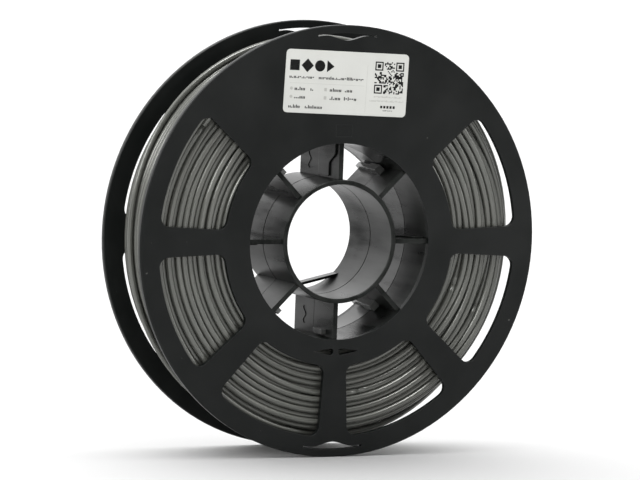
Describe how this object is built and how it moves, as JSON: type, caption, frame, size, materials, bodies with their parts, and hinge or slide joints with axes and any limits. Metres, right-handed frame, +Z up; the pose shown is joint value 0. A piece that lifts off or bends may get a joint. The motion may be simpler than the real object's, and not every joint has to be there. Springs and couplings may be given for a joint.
{
  "type": "filament spool",
  "caption": "Full flanged spool of thick 3D printing strand: windowed flanges, ribbed hub with an open bore, clip slots in the rims and a plain label.",
  "frame": {"origin": "centre of the bore, at mid width", "axes": "the spool turns about Y, its labelled front face looks towards -Y, and +Z is up as it stands on its two rims; +X is to the right seen from the front"},
  "size_m": [0.2, 0.0462, 0.2],
  "materials": {
    "flange_plastic": "satin black injection-moulded plastic",
    "hub_plastic": "satin to semi-gloss black plastic",
    "filament": "warm grey extruded strand with a soft sheen",
    "label_paper": "off-white coated paper label"
  },
  "bodies": {
    "root": {"front_flange": "flange_plastic", "front_drum": "hub_plastic", "front_core_tube": "hub_plastic", "front_ribs": "hub_plastic", "front_locating_bars": "hub_plastic", "rear_flange": "flange_plastic", "rear_drum": "hub_plastic", "rear_core_tube": "hub_plastic", "rear_ribs": "hub_plastic", "rear_locating_bars": "hub_plastic", "snap_tongues": "hub_plastic", "bore_finger": "hub_plastic", "label": "label_paper", "filament_layer_01": "filament", "filament_layer_02": "filament", "filament_layer_03": "filament", "filament_layer_04": "filament", "filament_layer_05": "filament", "filament_layer_06": "filament", "filament_layer_07": "filament", "filament_layer_08": "filament", "filament_layer_09": "filament", "filament_layer_10": "filament", "filament_layer_11": "filament", "filament_layer_12": "filament", "filament_layer_13": "filament", "filament_layer_14": "filament", "filament_layer_15": "filament", "filament_layer_16": "filament", "filament_layer_17": "filament"}
  },
  "joints": []
}
